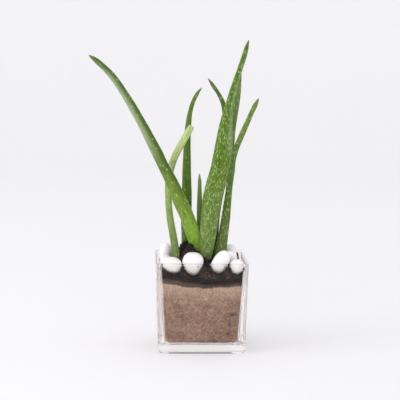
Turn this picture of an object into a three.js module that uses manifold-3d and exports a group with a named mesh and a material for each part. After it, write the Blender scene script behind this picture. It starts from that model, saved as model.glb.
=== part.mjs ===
// A young aloe growing in a square clear-glass vase, with two layers of soil and white pebbles.
// Millimetres, +Z up. The origin is the centre of the vase's flat underside; -Y is the front.
import * as THREE from 'three';
import Module from 'manifold-3d';

// ---------------------------------------------------------------- driving dimensions
const VASE_H = 100;            // height of the cube vase
const VASE_TOP = 50;           // half width of the outside at the rim
const VASE_BASE = 47.5;        // half width of the outside near the base
const VASE_CORNER = 5.5;       // radius of the outer upright edges
const BORE_TOP = 46.8;         // half width of the inside at the rim
const BORE_TAPER = 0.068;      // narrowing of the inside per mm of depth
const BORE_CORNER = 3.6;       // radius of the inner upright edges
const FLOOR_Z = 9.8;           // top of the thick glass bottom
const GAP = 0.3;               // clearance between neighbouring pieces

const SOIL_BOTTOM = 10.1;
const SOIL_RIM = 91.5;         // level of the dark soil away from the heap
const LAYER_Z = 74.4;          // lowest level of the line between the two soils

const STEM_TOP = 94.2;         // the crown ends just under the leaf bases
const LEAF_SIDES = 7;          // points on the back and points on the face of a leaf section

const clamp = (v, a, b) => Math.min(b, Math.max(a, v));
const lerp = (a, b, t) => a + (b - a) * t;
const boreHalf = (z) => BORE_TOP - BORE_TAPER * (VASE_H - z);

// ---------------------------------------------------------------- mesh helpers
function geometryFrom(points, faces) {
  const g = new THREE.BufferGeometry();
  g.setAttribute('position', new THREE.Float32BufferAttribute(points.flat(), 3));
  g.setIndex(faces.flat());
  return g;
}

// A closed skin over a list of loops that all have the same number of points.
// Each end closes on a point: the loop's own middle, or the one given.
function skin(loops, startPoint, endPoint) {
  const n = loops[0].length;
  const points = loops.flat().map((p) => [...p]);
  const faces = [];
  for (let k = 0; k + 1 < loops.length; k++) {
    for (let j = 0; j < n; j++) {
      const a = k * n + j, b = k * n + (j + 1) % n, c = a + n, d = b + n;
      faces.push([a, b, d], [a, d, c]);
    }
  }
  const middle = (loop) => loop.reduce((s, p) => s.map((v, i) => v + p[i] / loop.length), [0, 0, 0]);
  const s = points.push(startPoint ?? middle(loops[0])) - 1;
  const e = points.push(endPoint ?? middle(loops[loops.length - 1])) - 1;
  const last = (loops.length - 1) * n;
  for (let j = 0; j < n; j++) {
    faces.push([s, (j + 1) % n, j], [e, last + j, last + (j + 1) % n]);
  }
  // turn the faces outwards
  let volume = 0;
  for (const [a, b, c] of faces) {
    const [p, q, r] = [points[a], points[b], points[c]];
    volume += p[0] * (q[1] * r[2] - q[2] * r[1]) - p[1] * (q[0] * r[2] - q[2] * r[0]) + p[2] * (q[0] * r[1] - q[1] * r[0]);
  }
  if (volume < 0) faces.forEach((f) => f.reverse());
  return geometryFrom(points, faces);
}

// Rounded square outline, counter-clockwise, with extra points along each side.
function roundedSquare(half, radius, arc = 4, side = 4) {
  const out = [];
  const corners = [[1, 1, 0], [-1, 1, 90], [-1, -1, 180], [1, -1, 270]];
  corners.forEach(([sx, sy, start], i) => {
    const c = half - radius;
    for (let k = 0; k <= arc; k++) {
      const a = THREE.MathUtils.degToRad(start + 90 * k / arc);
      out.push([sx * c + radius * Math.cos(a), sy * c + radius * Math.sin(a)]);
    }
    const next = corners[(i + 1) % 4];
    const a1 = THREE.MathUtils.degToRad(start + 90);
    const from = [sx * c + radius * Math.cos(a1), sy * c + radius * Math.sin(a1)];
    const to = [next[0] * c + radius * Math.cos(a1), next[1] * c + radius * Math.sin(a1)];
    for (let k = 1; k <= side; k++) {
      const t = k / (side + 1);
      out.push([lerp(from[0], to[0], t), lerp(from[1], to[1], t)]);
    }
  });
  return out;
}
const loopAt = (half, radius, z, arc, side) => roundedSquare(half, radius, arc, side).map(([x, y]) => [x, y, z]);

// ---------------------------------------------------------------- solids
const wasm = await Module();
wasm.setup();
function solid(geometry) {
  const index = Uint32Array.from(geometry.index.array);
  return new wasm.Manifold(new wasm.Mesh({
    numProp: 3, vertProperties: Float32Array.from(geometry.attributes.position.array), triVerts: index,
  }));
}
function geometryOf(body) {
  const mesh = body.getMesh();
  const g = new THREE.BufferGeometry();
  const n = mesh.numProp, count = mesh.vertProperties.length / n;
  const pos = new Float32Array(count * 3);
  for (let i = 0; i < count; i++) for (let k = 0; k < 3; k++) pos[i * 3 + k] = mesh.vertProperties[i * n + k];
  g.setAttribute('position', new THREE.BufferAttribute(pos, 3));
  g.setIndex(Array.from(mesh.triVerts));
  return g;
}

// ---------------------------------------------------------------- the vase
function vaseGeometry() {
  const c = VASE_CORNER, outer = [], inner = [];
  for (const [half, radius, z] of [
    [VASE_BASE - 5.2, c - 3.4, 0], [VASE_BASE - 3.2, c - 2.1, 0.4], [VASE_BASE - 1.5, c - 1.0, 1.5], [VASE_BASE - 0.4, c - 0.3, 3.2], [VASE_BASE, c, 5.2],
    [VASE_TOP - 0.05, c, VASE_H - 1.6], [VASE_TOP - 0.35, c - 0.2, VASE_H - 0.6], [VASE_TOP - 1.2, c - 0.8, VASE_H],
  ]) outer.push(loopAt(half, radius, z, 4, 2));
  const b = BORE_CORNER;
  for (const [half, radius, z] of [
    [BORE_TOP + 1.0, b + 0.8, VASE_H], [BORE_TOP + 0.25, b + 0.2, VASE_H - 0.6], [boreHalf(VASE_H - 1.6), b, VASE_H - 1.6],
    [boreHalf(FLOOR_Z + 4.6), b, FLOOR_Z + 4.6], [boreHalf(FLOOR_Z) - 1.3, b - 0.8, FLOOR_Z + 1.3], [boreHalf(FLOOR_Z) - 4.4, b - 2.4, FLOOR_Z],
  ]) inner.push(loopAt(half, radius, z, 4, 2));
  return skin([...outer, ...inner], [0, 0, 0], [0, 0, FLOOR_Z]);
}

// ---------------------------------------------------------------- leaves
// Each station is [x, y, z, width], from the base under the soil to the tip.
// back is the way the rounded back of the leaf faces.
const LEAVES = [
  { name: 'leaf_main', back: [0.1, -0.99, -0.05], cut: false,
    stations: [
      [4.0, -10.3, 95.0, 11.8], [4.7, -12.1, 101.4, 13.4], [6.0, -12.5, 118.0, 17.3], [7.7, -13.1, 134.5, 18.9],
      [9.3, -13.6, 150.8, 19.7], [11.1, -14.1, 166.8, 20.9], [14.2, -14.6, 182.4, 20.5], [18.2, -15.1, 197.5, 20.0],
      [21.1, -15.6, 212.6, 20.0], [23.2, -15.7, 227.5, 18.9], [24.4, -15.4, 242.2, 15.7], [26.2, -14.9, 256.4, 12.0],
      [28.6, -14.4, 270.3, 8.4], [32.0, -14.0, 283.6, 7.4], [35.9, -13.5, 296.4, 6.8], [39.8, -13.1, 308.6, 5.9],
      [43.5, -12.7, 320.2, 5.7], [46.5, -12.3, 331.0, 4.5], [48.8, -12.1, 339.6, 0.4]] },
  { name: 'leaf_behind_main', back: [0.42, 0.9, 0.05], cut: false,
    stations: [
      [11.8, 4.3, 95.0, 7.9], [13.9, 5.1, 106.4, 8.9], [15.1, 5.5, 124.2, 9.3], [16.1, 5.8, 141.7, 9.4],
      [18.3, 6.2, 158.8, 9.5], [21.5, 6.5, 175.6, 9.3], [25.4, 6.8, 191.8, 9.3], [28.8, 7.0, 207.7, 9.7],
      [31.2, 7.4, 223.5, 9.8], [32.5, 7.7, 238.9, 9.4], [34.4, 8.0, 253.9, 9.4], [36.8, 8.3, 268.1, 8.7],
      [39.3, 8.5, 281.5, 6.7], [41.2, 8.8, 294.0, 3.6], [42.7, 8.9, 304.1, 0.8]] },
  { name: 'leaf_right', back: [0.5, -0.87, 0], cut: false,
    stations: [
      [17.5, -2.4, 95.0, 13.2], [20.6, -2.8, 103.9, 15.0], [23.2, -2.2, 117.3, 12.9], [25.0, -1.5, 130.7, 11.9],
      [26.8, -0.7, 144.0, 11.1], [28.2, 0.0, 157.1, 9.8], [29.7, 0.7, 170.0, 8.4], [31.0, 1.4, 182.6, 8.2],
      [33.1, 2.1, 195.0, 7.6], [34.3, 2.7, 207.2, 7.3], [37.3, 3.2, 218.9, 7.2], [41.7, 3.8, 230.1, 7.1],
      [46.2, 4.3, 240.6, 6.8], [50.5, 4.8, 250.7, 6.2], [54.7, 5.2, 260.2, 5.8], [58.8, 5.6, 269.0, 5.3],
      [62.3, 5.9, 275.5, 0.6]] },
  { name: 'leaf_long_left', back: [-0.62, -0.7, -0.36], cut: false,
    stations: [
      [-5.0, -4.8, 95.0, 13.1], [-4.6, -4.9, 104.1, 14.0], [-5.8, -5.6, 113.2, 14.9], [-9.6, -7.5, 129.7, 18.7],
      [-14.9, -9.9, 145.8, 19.2], [-21.7, -12.3, 160.9, 19.5], [-28.4, -14.7, 175.8, 18.2], [-35.2, -16.9, 190.3, 16.2],
      [-42.6, -18.9, 204.1, 14.8], [-49.2, -20.9, 218.0, 14.8], [-56.2, -22.9, 231.4, 13.7], [-63.1, -24.8, 244.6, 12.6],
      [-70.1, -26.5, 257.2, 11.7], [-77.1, -27.9, 269.4, 11.2], [-84.3, -29.1, 281.0, 10.0], [-91.5, -30.2, 292.0, 9.3],
      [-99.3, -31.2, 302.0, 8.8], [-107.8, -32.2, 310.5, 7.6], [-116.2, -33.2, 317.7, 6.2], [-123.5, -33.8, 322.5, 1.1]] },
  { name: 'leaf_upright_left', back: [-0.7, -0.7, 0], cut: false,
    stations: [
      [-13.2, 9.4, 95.0, 9.8], [-15.6, 11.1, 107.6, 11.2], [-15.5, 11.3, 122.6, 12.6], [-15.7, 11.6, 137.4, 13.7],
      [-15.4, 11.9, 152.1, 14.1], [-15.2, 12.3, 166.5, 13.6], [-15.4, 12.6, 180.6, 12.6], [-15.6, 12.9, 194.5, 11.7],
      [-15.5, 13.4, 208.1, 10.6], [-15.4, 14.0, 221.4, 9.5], [-15.0, 14.5, 234.3, 8.5], [-14.1, 15.1, 246.8, 7.5],
      [-12.6, 15.6, 258.7, 6.0], [-9.6, 16.1, 269.6, 5.3], [-5.0, 16.6, 279.1, 4.2], [-0.1, 16.9, 286.1, 0.6]] },
  { name: 'leaf_cut_pale', back: [-0.6, -0.8, 0], cut: true,
    stations: [
      [-22.9, -10.4, 95.0, 9.1], [-27.0, -12.3, 99.2, 10.4], [-28.8, -10.1, 112.3, 9.7], [-30.9, -7.2, 125.0, 9.1],
      [-33.3, -4.5, 137.6, 8.8], [-35.1, -2.2, 150.2, 8.5], [-36.1, -0.5, 162.6, 8.3], [-36.5, 0.9, 175.0, 8.4],
      [-35.8, 1.7, 187.1, 8.9], [-33.6, 1.7, 198.7, 8.9], [-29.9, 1.6, 209.6, 8.5], [-25.1, 1.4, 219.6, 8.3],
      [-20.1, 1.2, 228.8, 8.2], [-15.4, 1.1, 237.4, 8.0], [-11.5, 1.0, 244.2, 6.6]] },
  { name: 'leaf_small_back', back: [0.15, 0.98, 0], cut: false,
    stations: [
      [8.9, 10.3, 95.0, 5.7], [9.5, 11.6, 104.1, 6.1], [10.5, 12.1, 113.1, 6.5], [12.6, 12.3, 129.9, 7.0],
      [14.8, 12.7, 146.4, 7.4], [17.4, 13.0, 162.6, 7.5], [20.4, 13.4, 178.4, 7.5], [23.6, 13.7, 193.9, 7.7],
      [25.9, 14.1, 209.2, 7.6], [26.9, 14.7, 224.3, 8.1], [27.3, 15.3, 239.0, 8.0], [26.6, 15.9, 253.2, 7.2],
      [24.4, 16.5, 266.7, 5.5], [19.0, 17.1, 278.5, 4.2], [12.1, 17.6, 288.5, 3.9], [6.6, 17.9, 296.4, 0.6]] },
  { name: 'leaf_small_centre', back: [-0.2, 0.95, 0], cut: false,
    stations: [
      [-0.6, 3.0, 95.0, 5.9], [-0.5, 3.4, 104.7, 6.3], [-0.7, 3.5, 114.5, 6.7], [-0.9, 3.6, 125.6, 7.0],
      [-1.2, 3.6, 136.5, 7.2], [-1.4, 3.7, 147.1, 6.8], [-1.6, 3.8, 157.3, 6.3], [-1.8, 3.8, 167.2, 5.4],
      [-1.9, 3.9, 176.5, 4.5], [-2.0, 4.0, 185.2, 3.6], [-2.4, 4.0, 192.0, 0.4]] },
];

function leafSection(width, fromTip, grow) {
  const bulge = 0.36 + 0.06 * (2 * fromTip - 1) ** 2;
  const channel = fromTip < 0.25 ? lerp(-0.14, -0.03, fromTip / 0.25)
    : fromTip < 0.7 ? lerp(-0.03, 0.05, (fromTip - 0.25) / 0.45) : lerp(0.05, 0.10, (fromTip - 0.7) / 0.3);
  const pts = [];
  for (let i = 0; i <= LEAF_SIDES; i++) {
    const a = Math.PI * i / LEAF_SIDES;
    pts.push([0.5 * width * Math.cos(a), bulge * width * Math.sin(a) ** 0.9]);
  }
  for (let i = LEAF_SIDES - 1; i > 0; i--) {
    const a = Math.PI * i / LEAF_SIDES;
    pts.push([0.5 * width * Math.cos(a), channel * width * Math.sin(a)]);
  }
  if (!grow) return pts;
  return pts.map(([u, v], i) => {
    const sideways = Math.sign(u) * grow * (i === 0 || i === LEAF_SIDES ? 3 : 1);
    const through = i === 0 || i === LEAF_SIDES ? 0 : i < LEAF_SIDES ? grow * 1.3 : -grow * 1.9;
    return [u + sideways, v + through];
  });
}

function leafGeometry(leaf, grow = 0) {
  const st = leaf.stations.map((s) => ({ p: new THREE.Vector3(s[0], s[1], s[2]), w: s[3] }));
  const back = new THREE.Vector3(...leaf.back);
  const along = [0];
  for (let i = 1; i < st.length; i++) along.push(along[i - 1] + st[i].p.distanceTo(st[i - 1].p));
  const total = along[along.length - 1];
  const loops = [];
  let first, tipPoint;
  st.forEach((s, i) => {
    const t = new THREE.Vector3().subVectors(st[Math.min(i + 1, st.length - 1)].p, st[Math.max(i - 1, 0)].p).normalize();
    const n = back.clone().addScaledVector(t, -back.dot(t)).normalize();
    const l = new THREE.Vector3().crossVectors(t, n);
    const origin = s.p.clone();
    if (i === 0) origin.addScaledVector(t, -grow * 1.5);
    if (i === 0) first = origin;
    if (i === st.length - 1) {
      tipPoint = origin.clone().addScaledVector(t, leaf.cut ? 0.2 + grow * 1.5 : grow * 1.5);
      if (!leaf.cut) return;
    }
    loops.push(leafSection(s.w, 1 - along[i] / total, grow).map(([u, v]) => {
      const p = origin.clone().addScaledVector(l, u).addScaledVector(n, v);
      return [p.x, p.y, p.z];
    }));
  });
  return skin(loops, undefined, leaf.cut ? undefined : [tipPoint.x, tipPoint.y, tipPoint.z]);
}

// ---------------------------------------------------------------- pebbles
// centre, half axes, turn about Z, tilt about Y (degrees), lump seed, widening upwards, the way to the nearest glass
const PEBBLES = [
  ['pebble_front_left', [-32.7, -36.2, 96.9], [10.9, 9.3, 8.7], 6, 11, 1, 0.04, [0, -1]],
  ['pebble_front_middle', [-10.6, -34.2, 97.9], [11.7, 11.3, 12.6], 0, 2, 2, 0.15, [0, -1]],
  ['pebble_front_right', [20.0, -36.2, 100.4], [13.7, 9.2, 8.7], 0, -60, 3, 0.05, [0, -1]],
  ['pebble_small_right', [37.4, -37.7, 95.3], [8.0, 7.4, 8.6], 0, 12, 4, 0.04, [0, -1]],
  ['pebble_back_left', [-38.6, 13.8, 102.4], [6.7, 9.0, 10.6], 4, 8, 5, 0, [-1, 0]],
  ['pebble_right_edge', [32.2, -16.5, 101.6], [7.4, 7.6, 8.2], 0, 0, 6, 0, [0, 0]],
  ['pebble_back_right', [33.6, 19.5, 103.2], [7.8, 8.6, 7.2], 20, -14, 7, 0, [0, 0]],
  ['pebble_left_side', [-39.4, -10.6, 97.0], [6.2, 9.0, 7.2], -4, 0, 8, 0, [-1, 0]],
  ['pebble_back_corner', [-32.4, 36.0, 97.6], [11.0, 8.8, 8.4], -8, 4, 9, 0, [0, 1]],
  ['pebble_back_middle', [-6.5, 35.2, 98.2], [11.4, 9.6, 8.8], 6, -5, 10, 0, [0, 1]],
  ['pebble_back_small', [16.0, 36.8, 97.0], [8.6, 8.0, 7.6], 0, 8, 11, 0, [0, 1]],
];

function pebbleGeometry([, centre, half, turn, tilt, seed, widen], grow = 0) {
  const unit = new THREE.IcosahedronGeometry(1, 3);
  const src = unit.attributes.position, lookup = new Map(), points = [], faces = [];
  const m = new THREE.Matrix4().makeRotationFromEuler(new THREE.Euler(0, THREE.MathUtils.degToRad(tilt), THREE.MathUtils.degToRad(turn), 'ZYX'));
  for (let i = 0; i < src.count; i += 3) {
    const f = [];
    for (let k = 0; k < 3; k++) {
      const v = new THREE.Vector3().fromBufferAttribute(src, i + k);
      const key = [v.x, v.y, v.z].map((q) => q.toFixed(4)).join();
      if (!lookup.has(key)) {
        const lump = 1 - 0.035 + 0.035 * Math.sin(2.1 * v.x + 1.7 * seed) * Math.cos(1.9 * v.y - seed) + 0.025 * Math.sin(3.3 * v.z + 2.2 * v.x + seed * 2.3);
        const wide = 1 + widen * v.z;
        const p = new THREE.Vector3(v.x * wide * (half[0] + grow), v.y * wide * (half[1] + grow), v.z * (half[2] + grow)).multiplyScalar(lump).applyMatrix4(m);
        lookup.set(key, points.push([p.x + centre[0], p.y + centre[1], p.z + centre[2]]) - 1);
      }
      f.push(lookup.get(key));
    }
    faces.push(f);
  }
  return geometryFrom(points, faces);
}

// ---------------------------------------------------------------- stem with its roots
function tube(path, radii, sides) {
  const pts = path.map((p) => new THREE.Vector3(...p));
  const loops = pts.map((p, i) => {
    const t = new THREE.Vector3().subVectors(pts[Math.min(i + 1, pts.length - 1)], pts[Math.max(i - 1, 0)]).normalize();
    const a = Math.abs(t.z) > 0.9 ? new THREE.Vector3(1, 0, 0) : new THREE.Vector3(0, 0, 1);
    const l = new THREE.Vector3().crossVectors(t, a).normalize(), n = new THREE.Vector3().crossVectors(l, t);
    return Array.from({ length: sides }, (_, j) => {
      const q = 2 * Math.PI * j / sides;
      const v = p.clone().addScaledVector(l, radii[i] * Math.cos(q)).addScaledVector(n, radii[i] * Math.sin(q));
      return [v.x, v.y, v.z];
    });
  });
  return skin(loops);
}
function stemSolid(grow = 0) {
  const g = grow * 1.2;
  let body = solid(tube([[2, -1, 58 - g], [2, -1, 62], [2.2, -1, 70], [2, -1, 80], [1.5, -1, 88], [1.5, -1, STEM_TOP + g]],
    [3 + g, 5.2 + g, 7.0 + g, 7.6 + g, 8.2 + g, 7.4 + g], 12));
  for (let k = 0; k < 6; k++) {
    const a = THREE.MathUtils.degToRad(25 + 60 * k), reach = 20 + 5 * Math.sin(k * 2.3), drop = 24 + 5 * Math.cos(k * 1.7);
    const at = (f, bend) => [2 + Math.cos(a + bend) * reach * f, -1 + Math.sin(a + bend) * reach * f, 66 - drop * f ** 1.3];
    body = body.add(solid(tube([at(0.08, 0), at(0.3, 0.05), at(0.55, 0.16), at(0.8, 0.12), at(1 + g / 30, 0.02)],
      [2.2 + g, 1.9 + g, 1.5 + g, 1.2 + g, 0.8 + g], 6)));
  }
  return body;
}

// ---------------------------------------------------------------- soil
const layerZ = (x, y) => LAYER_Z + (x < 0 ? 6.2 : 2.2) * (x / 44) ** 2 + 0.7 * Math.sin(x / 9 + 1) * Math.cos(y / 11) + 0.5 * Math.sin(x / 3.7 + y / 5);
function moundZ(x, y) {
  const heap = (height, cx, cy, sx, sy) => height * Math.exp(-((x - cx) ** 2) / (2 * sx ** 2) - ((y - cy) ** 2) / (2 * sy ** 2));
  const heaps = heap(20, -3, 2, 17, 15) + heap(8, -10, 4, 7, 7) + heap(9, -22.5, 5, 4.5, 6) + heap(6, 43, 44, 3, 8) + heap(18, -13.5, -18.5, 6.5, 4.2);
  const atFrontGlass = 3.6 * Math.exp(-((y + 47) ** 2) / (2 * 5 ** 2));
  const rough = 0.7 * Math.sin(x / 3.1 + 0.4) * Math.cos(y / 3.7 - 0.8) + 0.4 * Math.sin(x / 1.9 - y / 2.3);
  return SOIL_RIM + heaps + atFrontGlass + rough;
}
const RINGS = [0.985, 0.9, 0.79, 0.68, 0.57, 0.46, 0.35, 0.24, 0.13];
const LAYER_RINGS = [0.985, 0.84, 0.66, 0.48, 0.3, 0.14];
const soilOutline = roundedSquare(1, BORE_CORNER / 44, 3, 5);
function fieldLoops(height, wallZ, rings = RINGS, extra = 0) {
  return rings.map((f) => soilOutline.map(([ux, uy]) => {
    const half = boreHalf(wallZ) - GAP + extra, x = ux * half * f, y = uy * half * f;
    return [x, y, height(x, y)];
  }));
}
function wallLoop(height, extra = 0) {
  return soilOutline.map(([ux, uy]) => {
    const z = height(ux * 43, uy * 43), half = boreHalf(z) - GAP + extra;
    return [ux * half, uy * half, z];
  });
}
function levelLoop(inset, z) {
  const half = boreHalf(z) - GAP - inset;
  return soilOutline.map(([x, y]) => [x * half, y * half, z]);
}
function soilTopGeometry() {
  return skin([levelLoop(14, LAYER_Z - 6), levelLoop(0, LAYER_Z - 6), wallLoop((x, y) => moundZ(x, y) - 0.8), ...fieldLoops(moundZ, SOIL_RIM)],
    [0, 0, LAYER_Z - 6], [0, 0, moundZ(0, 0)]);
}
function soilLowerGeometry() {
  return skin([levelLoop(14, SOIL_BOTTOM), levelLoop(4.6, SOIL_BOTTOM), levelLoop(1.5, SOIL_BOTTOM + 1.4), levelLoop(0.1, SOIL_BOTTOM + 4.6),
    levelLoop(0, 40), wallLoop((x, y) => layerZ(x, y) - 0.5), ...fieldLoops(layerZ, LAYER_Z + 2, LAYER_RINGS)],
    [0, 0, SOIL_BOTTOM], [0, 0, layerZ(0, 0)]);
}
// the room that the lower soil takes up, used to shape the underside of the top layer
function layerRoomGeometry() {
  const z = (x, y) => layerZ(x, y) + GAP;
  return skin([levelLoop(-1, 60), wallLoop(z, 1), ...fieldLoops(z, LAYER_Z + 2, LAYER_RINGS, 0.4)], [0, 0, 60], [0, 0, z(0, 0)]);
}

// ---------------------------------------------------------------- assembly
const finish = {
  glass: { color: 0xe6eeee, roughness: 0.03, metalness: 0 },
  soilTop: { color: 0x2f2523, roughness: 0.95, metalness: 0 },
  soilLower: { color: 0xa08a76, roughness: 0.97, metalness: 0 },
  pebble: { color: 0xf1efec, roughness: 0.45, metalness: 0 },
  leaf: { color: 0x557832, roughness: 0.42, metalness: 0 },
  paleLeaf: { color: 0x93a866, roughness: 0.45, metalness: 0 },
  stem: { color: 0x9a8a63, roughness: 0.8, metalness: 0 },
};
const aloe = new THREE.Group();
aloe.name = 'aloe_in_glass_vase';
const plant = new THREE.Group(), bed = new THREE.Group();
plant.name = 'plant';
bed.name = 'bed';
aloe.add(plant, bed);
function place(parent, name, geometry, material) {
  const mesh = new THREE.Mesh(geometry, new THREE.MeshStandardMaterial(material));
  mesh.name = name;
  parent.add(mesh);
}

place(aloe, 'glass_vase', vaseGeometry(), finish.glass);

// leaves are made from the front one backwards; each gives way to those before it
const grown = [];
for (const leaf of LEAVES) {
  let body = solid(leafGeometry(leaf));
  for (const other of grown) body = body.subtract(other);
  grown.push(solid(leafGeometry(leaf, GAP)));
  place(plant, leaf.name, geometryOf(body), leaf.cut ? finish.paleLeaf : finish.leaf);
}
place(plant, 'stem_with_roots', geometryOf(stemSolid()), finish.stem);

for (const pebble of PEBBLES) place(bed, pebble[0], pebbleGeometry(pebble), finish.pebble);

let topSoil = solid(soilTopGeometry()).subtract(solid(layerRoomGeometry()));
for (const body of grown) topSoil = topSoil.subtract(body);
// a pebble that lies against the glass keeps the soil out of the narrow space in front of it
for (const pebble of PEBBLES) {
  const room = solid(pebbleGeometry(pebble, GAP + 0.1)), [wx, wy] = pebble[7];
  topSoil = topSoil.subtract(wx || wy ? wasm.Manifold.hull([room, room.translate(wx * 12, wy * 12, 0)]) : room);
}
const stemRoom = stemSolid(GAP);
place(bed, 'soil_top', geometryOf(topSoil.subtract(stemRoom)), finish.soilTop);
place(bed, 'soil_lower', geometryOf(solid(soilLowerGeometry()).subtract(stemRoom)), finish.soilLower);

export default aloe;
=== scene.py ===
"""A young aloe in a square glass vase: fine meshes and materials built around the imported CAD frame."""
import math

import bpy
import numpy as np
from mathutils import Matrix, Vector


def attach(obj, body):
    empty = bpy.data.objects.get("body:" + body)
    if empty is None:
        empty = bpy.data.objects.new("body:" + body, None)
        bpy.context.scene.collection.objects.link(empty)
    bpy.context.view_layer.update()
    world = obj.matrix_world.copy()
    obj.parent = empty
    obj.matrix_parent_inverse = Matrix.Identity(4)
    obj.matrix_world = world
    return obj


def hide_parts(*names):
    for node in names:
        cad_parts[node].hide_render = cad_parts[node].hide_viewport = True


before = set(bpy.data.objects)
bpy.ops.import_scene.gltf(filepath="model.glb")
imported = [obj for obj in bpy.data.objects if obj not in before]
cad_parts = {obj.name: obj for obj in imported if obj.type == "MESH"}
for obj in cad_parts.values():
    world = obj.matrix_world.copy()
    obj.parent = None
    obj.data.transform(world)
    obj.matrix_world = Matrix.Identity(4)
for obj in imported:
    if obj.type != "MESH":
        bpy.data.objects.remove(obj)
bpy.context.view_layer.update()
MM = 0.001
rng = np.random.default_rng(20775)

# ---------------------------------------------------------------- sizes, in millimetres, as in the CAD
VASE_H, VASE_TOP, VASE_BASE, VASE_CORNER, FOOT = 100.0, 50.0, 47.5, 5.5, 5.2
BORE_TOP, BORE_TAPER, BORE_CORNER, FLOOR_Z = 46.8, 0.068, 3.6, 9.8
SOIL_BOTTOM, SOIL_RIM, LAYER_Z, GAP = 10.1, 91.5, 74.4, 0.3

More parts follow.
